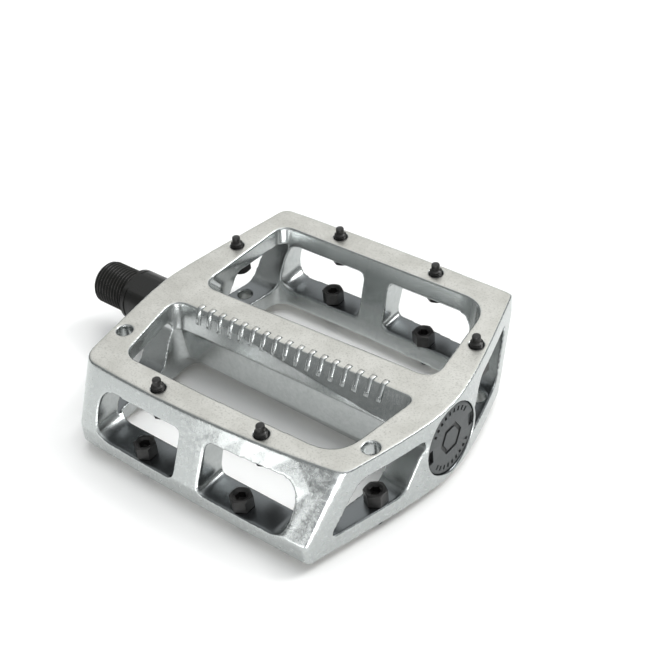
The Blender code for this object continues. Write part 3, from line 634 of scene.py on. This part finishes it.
def access_chamfers():
    """Cones that open the rim of each hole a screw is driven through."""
    cones = []
    for node in nodes:
        if "_rim" not in node:
            continue
        centre = middle_of(node)
        reach = ACCESS_RADIUS + ACCESS_CHAMFER
        mesh = cone(ACCESS_RADIUS, reach, 0, ACCESS_CHAMFER, ACCESS_SIDES)
        height = HALF_HEIGHT - ACCESS_CHAMFER + OVERCUT
        turn = 0
        if node.startswith("top"):
            turn, height = HALF_TURN, -height
        mesh.transform(Matrix.Translation((centre.x, centre.y, height))
                       @ Matrix.Rotation(turn, 4, "X"))
        cones.append(mesh)
    return cones


def clear_of_nut(mesh):
    """Press the softened step in the bore down below the lock nut, which turns over it."""
    low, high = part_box("lock_nut")
    clear = high.y + NUT_CLEARANCE
    step = low.x - NUT_CLEARANCE / 2
    for vertex in mesh.vertices:
        if step < vertex.co.x < high.x and math.hypot(vertex.co.y, vertex.co.z) < clear:
            vertex.co.x = step


def soften(cage):
    """Round every edge as casting does: even out the mesh, smooth it, then thin it."""
    remesh = cage.modifiers.new("even", "REMESH")
    remesh.mode = "VOXEL"
    remesh.voxel_size = VOXEL
    remesh.use_smooth_shade = True
    smoothing = cage.modifiers.new("soften", "SMOOTH")
    smoothing.iterations = SOFTENING
    smoothing.factor = 0.5
    carry_out(cage)
    cage.data.calc_loop_triangles()
    thin = cage.modifiers.new("thin", "DECIMATE")
    thin.ratio = min(1.0, CAGE_TRIANGLES / len(cage.data.loop_triangles))
    carry_out(cage)


def make_cage(material):
    mesh = nodes["cage"].data.copy()
    weld(mesh)
    cage = new_piece("cage_casting", mesh)
    for cutter in access_chamfers():
        boolean(cage, cutter)
    bore = cone(CAP_BORE_RADIUS, CAP_BORE_RADIUS + CAP_BORE_CHAMFER, 0, CAP_BORE_CHAMFER)
    bore.transform(Matrix.Translation((CAGE_HIGH.x - CAP_BORE_CHAMFER + OVERCUT, 0, 0))
                   @ Matrix.Rotation(HALF_TURN / 2, 4, "Y"))
    boolean(cage, bore)
    soften(cage)
    clear_of_nut(cage.data)
    cage.data.shade_smooth()
    finish_piece(cage, "cage_group", "bare_aluminium", material, "cage")

    between_pins = (middle_of("top_pin_short_edge_inboard")
                    + middle_of("top_pin_short_edge_outboard")) / 2
    ribs = new_piece("cage_ribs", ridge_ribs(between_pins.x))
    finish_piece(ribs, "cage_group", "bare_aluminium", material, "cage")


def finish_piece(piece, body, slot, material, *replaced):
    piece.data.materials.clear()
    piece.data.materials.append(material)
    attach(piece, body)
    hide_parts(*replaced)


# ---------------------------------------------------------------- spindle


def spindle_angles():
    """Angles round the spindle, with points exactly on the edges of the two wrench flats."""
    edge = math.acos(FLATS_HALF / STUB_RADIUS)
    angles = []
    for half in (0, 1):
        middle = FLATS_TILT + HALF_TURN / 2 + half * HALF_TURN
        angles += [middle + edge * (2 * i / FLAT_STEPS - 1) for i in range(FLAT_STEPS)]
        angles += [middle + edge + (HALF_TURN - 2 * edge) * i / ROUND_STEPS
                   for i in range(ROUND_STEPS)]
    return angles


def thread_radius(x, angle):
    """Radius of the crank thread, a right-hand helix with flattened crests and roots."""
    phase = (x / THREAD_PITCH - angle / (2 * HALF_TURN)) % 1.0
    height = min(1.0, max(0.0, abs(2 * phase - 1) * THREAD_SLOPE - THREAD_ROOT))
    radius = THREAD_RADIUS - THREAD_DEPTH * (1 - height)
    along, across = THREAD_CHAMFER
    end = SPINDLE_LOW.x
    return min(radius, THREAD_RADIUS - across * (1 - min(1, (x - end) / along)))


def spindle_stations():
    """(x, radius) along the spindle; a radius of None stands for the thread."""
    steps = round(-SPINDLE_LOW.x / THREAD_PITCH * THREAD_STEPS)
    stations = [(SPINDLE_LOW.x * (1 - i / steps), None) for i in range(steps)]
    groove_end = COLLAR_LENGTH + COLLAR_GROOVE
    soft = SPINDLE_SOFT
    stations += [
        (0, THREAD_RADIUS - THREAD_DEPTH),
        (0, STUB_RADIUS - soft),
        (soft, STUB_RADIUS),
        (COLLAR_LENGTH - soft, STUB_RADIUS),
        (COLLAR_LENGTH, STUB_RADIUS - soft),
        (COLLAR_LENGTH, STUB_RADIUS - COLLAR_GROOVE),
        (groove_end, STUB_RADIUS - COLLAR_GROOVE),
        (groove_end, STUB_RADIUS - soft),
        (groove_end + soft, STUB_RADIUS),
        (FLATS_LENGTH - SPINDLE_STEP, STUB_RADIUS),
        (FLATS_LENGTH, STUB_RADIUS),
        (STUB_LENGTH - SPINDLE_EDGE, STUB_RADIUS),
        (STUB_LENGTH, STUB_RADIUS - SPINDLE_EDGE),
        (STUB_LENGTH, JOURNAL_RADIUS),
        (JOURNAL_END, JOURNAL_RADIUS),
        (SEAT_START, SEAT_SHOULDER),
        (SEAT_START, SEAT_RADIUS),
        (SPINDLE_HIGH.x - SPINDLE_EDGE, SEAT_RADIUS),
        (SPINDLE_HIGH.x, SEAT_RADIUS - SPINDLE_EDGE),
    ]
    return stations


def spindle_radius(x, radius, angle):
    if radius is None:
        return thread_radius(x, angle)
    if 0 <= x < FLATS_LENGTH:
        lean = abs(math.cos(angle - FLATS_TILT - HALF_TURN / 2))
        return min(radius, FLATS_HALF / max(lean, 0.1))
    return radius


def make_spindle(material):
    work = bmesh.new()
    angles = spindle_angles()
    rings = []
    for x, radius in spindle_stations():
        ring = []
        for angle in angles:
            r = spindle_radius(x, radius, angle)
            ring.append(work.verts.new((x, r * math.cos(angle), r * math.sin(angle))))
        rings.append(ring)
    skin(work, rings)
    bmesh.ops.remove_doubles(work, verts=work.verts, dist=WELD)
    bmesh.ops.recalc_face_normals(work, faces=work.faces)
    mesh = bpy.data.meshes.new("spindle_shaft")
    work.to_mesh(mesh)
    work.free()
    smooth(mesh, 34)
    spindle = new_piece("spindle_shaft", mesh)
    finish_piece(spindle, "spindle_group", "blackened_steel", material, "spindle")


# ---------------------------------------------------------------- pins


def pin_profile(low, high):
    """Profile of a pin from its tip down, with its thread showing above the plate."""
    thread_end = HALF_HEIGHT + PIN_THREAD_PROUD
    profile = [
        (high, 0),
        (high, PIN_TIP_RADIUS - PIN_TIP_CHAMFER),
        (high - PIN_SOFT, PIN_TIP_RADIUS - 1.2 * PIN_SOFT),
        (high - PIN_TIP_CHAMFER, PIN_TIP_RADIUS),
        (thread_end + PIN_SOFT, PIN_TIP_RADIUS),
        (thread_end, PIN_TIP_RADIUS + PIN_SOFT),
    ]
    turns = int(PIN_THREAD_LENGTH / PIN_THREAD_PITCH)
    root = PIN_THREAD_RADIUS - PIN_THREAD_DEPTH
    for i in range(turns):
        start = thread_end - i * PIN_THREAD_PITCH
        profile += [
            (start - 1.2 * PIN_SOFT, root),
            (start - 3.0 * PIN_SOFT, PIN_THREAD_RADIUS),
            (start - 4.2 * PIN_SOFT, PIN_THREAD_RADIUS),
            (start - PIN_THREAD_PITCH, root),
        ]
    head_top = low + PIN_HEAD_HEIGHT
    along, across = PIN_HEAD_CHAMFER
    profile += [
        (thread_end - turns * PIN_THREAD_PITCH - PIN_SOFT, PIN_THREAD_RADIUS),
        (head_top, PIN_THREAD_RADIUS),
        (head_top, PIN_HEAD_RADIUS - PIN_SOFT),
        (head_top - PIN_SOFT, PIN_HEAD_RADIUS),
        (low + along, PIN_HEAD_RADIUS),
        (low + 0.4 * PIN_SOFT, PIN_HEAD_RADIUS - across * 0.85),
        (low, PIN_HEAD_RADIUS - across),
        (low, 0),
    ]
    return profile


def hexagon_rod(across, low, high):
    return prism(6, across / 2 / math.cos(HALF_TURN / 6), low, high)


def pin_mesh():
    """A pin for the top face, about Z: a turned shape cut to a hexagon, with a hex socket."""
    low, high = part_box("top_pin_inboard_rim")
    pin = new_piece("pin", turned("pin", pin_profile(low.z, high.z), PIN_SIDES))
    beyond = 1 * mm
    hexagon = hexagon_rod(PIN_HEAD_ACROSS, low.z - beyond, high.z + beyond)
    boolean(pin, hexagon, "INTERSECT")
    boolean(pin, hexagon_rod(PIN_SOCKET_ACROSS, low.z - beyond, low.z + PIN_SOCKET_DEPTH))
    outer, inner, deep = PIN_DISH
    boolean(pin, cone(outer, inner, low.z - 0.1 * PIN_SOFT, low.z + deep, DISH_SIDES))
    mesh = pin.data
    bpy.data.objects.remove(pin)
    smooth(mesh, 30)
    return mesh


def make_pins(material):
    shape = pin_mesh()
    for node in sorted(nodes):
        if "_pin_" not in node:
            continue
        centre = middle_of(node)
        turn = 0 if node.startswith("top") else HALF_TURN
        mesh = shape.copy()
        mesh.transform(Matrix.Translation((centre.x, centre.y, 0)) @ Matrix.Rotation(turn, 4, "X"))
        pin = new_piece(f"screw_{node}", mesh)
        finish_piece(pin, "cage_group", "blackened_steel", material, node)


# ---------------------------------------------------------------- end cap


def cap_marks(face):
    """Cutters, standing on +Z, for a plain ring of ticks and a plain hexagon."""
    marks = []
    for i in range(TICK_COUNT):
        angle = 2 * HALF_TURN * i / TICK_COUNT
        if abs(math.sin(angle)) < TICK_FREE_OF_NOTCH:
            place = Matrix.Rotation(angle, 4, "Z") @ Matrix.Translation((TICK_RING, 0, face))
            marks.append(box_mesh((*TICK_SIZE, 2 * MARK_DEPTH), place))
    low, high = face - MARK_DEPTH, face + MARK_DEPTH
    emblem = new_piece("emblem", prism(6, EMBLEM_OUTER, low, high))
    boolean(emblem, prism(6, EMBLEM_INNER, low - MARK_DEPTH, high + MARK_DEPTH))
    marks.append(emblem.data)
    bpy.data.objects.remove(emblem)
    return joined(marks)


def make_cap(material):
    """The end cap, turned about Z and then laid along +X."""
    face = CAP_HIGH.x
    shoulder = face - CAP_FACE_DISC
    low = CAP_LOW.x
    profile = [
        (face, 0),
        (face, CAP_RADIUS - CAP_EDGE),
        (face - 0.13 * mm, CAP_RADIUS - 0.16 * mm),
        (face - CAP_EDGE, CAP_RADIUS),
        (shoulder, CAP_RADIUS),
        (shoulder, CAP_PLUG_RADIUS),
        (low, CAP_PLUG_RADIUS),
        (low, CAP_PLUG_INSIDE),
        (shoulder, CAP_PLUG_INSIDE),
        (shoulder, 0),
    ]
    cap = new_piece("end_cap_cover", turned("end_cap_cover", profile, CAP_SIDES))
    boolean(cap, cap_marks(face))
    deep, across, tall = PRY_NOTCH
    for way in (-1, 1):
        place = Matrix.Translation((0, way * CAP_RADIUS, face))
        boolean(cap, box_mesh((tall, across, 2 * deep), place))
    cap.data.transform(Matrix.Rotation(HALF_TURN / 2, 4, "Y"))
    smooth(cap.data, 30)
    finish_piece(cap, "cage_group", "grey_cap", material, "end_cap")


# ---------------------------------------------------------------- everything else


def dress_kept_nodes(steel, bronze, cover, rubber_material):
    """Give the CAD nodes that stay their materials."""
    for name, piece in nodes.items():
        if piece.hide_render:
            continue
        if name == "bushing":
            material = bronze
        elif name in ("inboard_seal", "cap_o_ring"):
            material = rubber_material
        elif name.endswith(("shield", "retainer")):
            material = cover
        else:
            material = steel
        for entry in piece.material_slots:
            entry.material = material


# ---------------------------------------------------------------- studio


def make_lights():
    target = middle_of("cage")
    for name, place, size, watts, shows_in_gloss in LIGHTS:
        data = bpy.data.lights.new(name, "AREA")
        data.shape = "RECTANGLE"
        data.size, data.size_y = size
        data.energy = watts
        light = bpy.data.objects.new(name, data)
        bpy.context.scene.collection.objects.link(light)
        light.location = place
        light.rotation_euler = (target - Vector(place)).to_track_quat("-Z", "Y").to_euler()
        light.visible_glossy = shows_in_gloss


def colour_mix(tree, factor, first):
    """A colour mix node of the world; its second colour is left for the caller to set."""
    mix = tree.nodes.new("ShaderNodeMix")
    mix.data_type = "RGBA"
    tree.links.new(factor, mix.inputs[0])
    tree.links.new(first, mix.inputs[6])
    return mix


def sky_by_height(tree, direction):
    split = tree.nodes.new("ShaderNodeSeparateXYZ")
    tree.links.new(direction, split.inputs["Vector"])
    ramp = tree.nodes.new("ShaderNodeValToRGB")
    stops = ramp.color_ramp.elements
    stops[0].position, stops[1].position = SKY_LEVELS[0][0], SKY_LEVELS[-1][0]
    for position, _ in SKY_LEVELS[1:-1]:
        stops.new(position)
    for stop, (_, level) in zip(stops, SKY_LEVELS):
        stop.color = (*(level * tint for tint in SKY_TINT), 1)
    tree.links.new(split.outputs["Z"], ramp.inputs["Fac"])
    return ramp.outputs["Color"]


def make_world():
    """A studio lit all round, brighter from one side, that itself shows as a pale backdrop."""
    world = bpy.data.worlds.new("studio")
    bpy.context.scene.world = world
    world.use_nodes = True
    tree = world.node_tree
    background = tree.nodes["Background"]
    direction = tree.nodes.new("ShaderNodeTexCoord").outputs["Generated"]

    near = tree.nodes.new("ShaderNodeVectorMath")
    near.operation = "DOT_PRODUCT"
    near.inputs[1].default_value = Vector(BRIGHT_SIDE).normalized()
    tree.links.new(direction, near.inputs[0])
    patch = tree.nodes.new("ShaderNodeMapRange")
    patch.interpolation_type = "SMOOTHSTEP"
    patch.inputs["From Min"].default_value, patch.inputs["From Max"].default_value = BRIGHT_SIDE_EDGE
    tree.links.new(near.outputs["Value"], patch.inputs["Value"])
    lit = colour_mix(tree, patch.outputs["Result"], sky_by_height(tree, direction))
    lit.inputs[7].default_value = (*BRIGHT_SIDE_COLOUR, 1)

    path = tree.nodes.new("ShaderNodeLightPath")
    seen = colour_mix(tree, path.outputs["Is Camera Ray"], lit.outputs[2])
    seen.inputs[7].default_value = (*BACKDROP, 1)
    tree.links.new(seen.outputs[2], background.inputs["Color"])
    background.inputs["Strength"].default_value = 1.0


def make_floor():
    """A plain white floor that glows a little where the lights don't reach it."""
    work = bmesh.new()
    bmesh.ops.create_grid(work, x_segments=2, y_segments=2, size=FLOOR_HALF_SIZE)
    mesh = bpy.data.meshes.new("floor")
    work.to_mesh(mesh)
    work.free()
    floor = new_piece("floor", mesh)
    floor.location.z = FLOOR_HEIGHT
    paint = Paint("floor_white", FLOOR_WHITE, 0.0, 0.9)
    paint.set_input("Specular IOR Level", 0.1)
    paint.set_input("Emission Color", (1.0, 1.0, 1.0, 1.0))
    start, full, strength = FLOOR_GLOW
    glow = paint.span(paint.from_centre("X", "Y"), start, full, 0.0, strength)
    paint.to_shader(glow, "Emission Strength")
    floor.data.materials.append(paint.material)


def make_camera():
    data = bpy.data.cameras.new("camera")
    data.sensor_width = CAMERA_SENSOR
    data.lens = CAMERA_LENS
    data.clip_start, data.clip_end = CAMERA_CLIP
    camera = bpy.data.objects.new("camera", data)
    bpy.context.scene.collection.objects.link(camera)
    camera.location = CAMERA_PLACE
    camera.rotation_euler = [math.radians(angle) for angle in CAMERA_TURN]
    bpy.context.scene.camera = camera


def main():
    make_cage(cast_aluminium())
    make_spindle(threaded_steel())
    make_pins(blackened_steel())
    make_cap(moulded_plastic("grey_cap", CAP_GREY, CAP_RECESS))
    cover = moulded_plastic("bearing_cover", COVER_GREY, COVER_GREY)
    dress_kept_nodes(bright_steel(), bearing_bronze(), cover, rubber())

    make_camera()
    make_world()
    make_floor()
    make_lights()
    bpy.context.scene.view_settings.view_transform = "Standard"


main()
